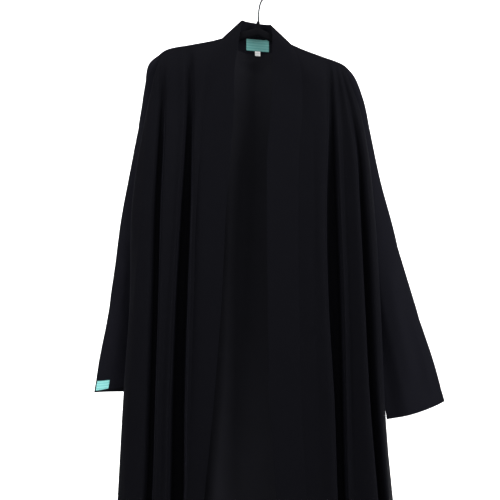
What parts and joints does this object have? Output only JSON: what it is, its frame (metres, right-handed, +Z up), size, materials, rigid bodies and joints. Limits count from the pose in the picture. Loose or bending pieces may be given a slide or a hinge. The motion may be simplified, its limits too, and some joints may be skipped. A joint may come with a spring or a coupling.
{
  "type": "open-front abaya cloak on a hanger",
  "caption": "Long black open-front abaya cloak with straight set-in sleeves and a standing neck and front band, hanging on a slim hanger with a wire hook.",
  "frame": {"origin": "inside top of the hanger's hook, where a rail carries it", "axes": "+Z up, the front faces -Y, the wearer's left is +X"},
  "size_m": [0.6788, 0.1113, 1.5906],
  "materials": {
    "black_cloth": "matt black crepe with a faint sheen",
    "turquoise_label": "woven satin label, bare",
    "white_tab": "white satin tab, bare",
    "hanger_black": "matt black",
    "hook_wire": "polished wire"
  },
  "bodies": {
    "root": {"front_left": "black_cloth", "front_right": "black_cloth", "back": "black_cloth", "sleeve_left": "black_cloth", "sleeve_right": "black_cloth", "band_left": "black_cloth", "band_right": "black_cloth", "neck_label": "turquoise_label", "size_tab": "white_tab", "cuff_label": "turquoise_label", "hanger_arms": "hanger_black", "hanger_hook": "hook_wire"}
  },
  "joints": []
}
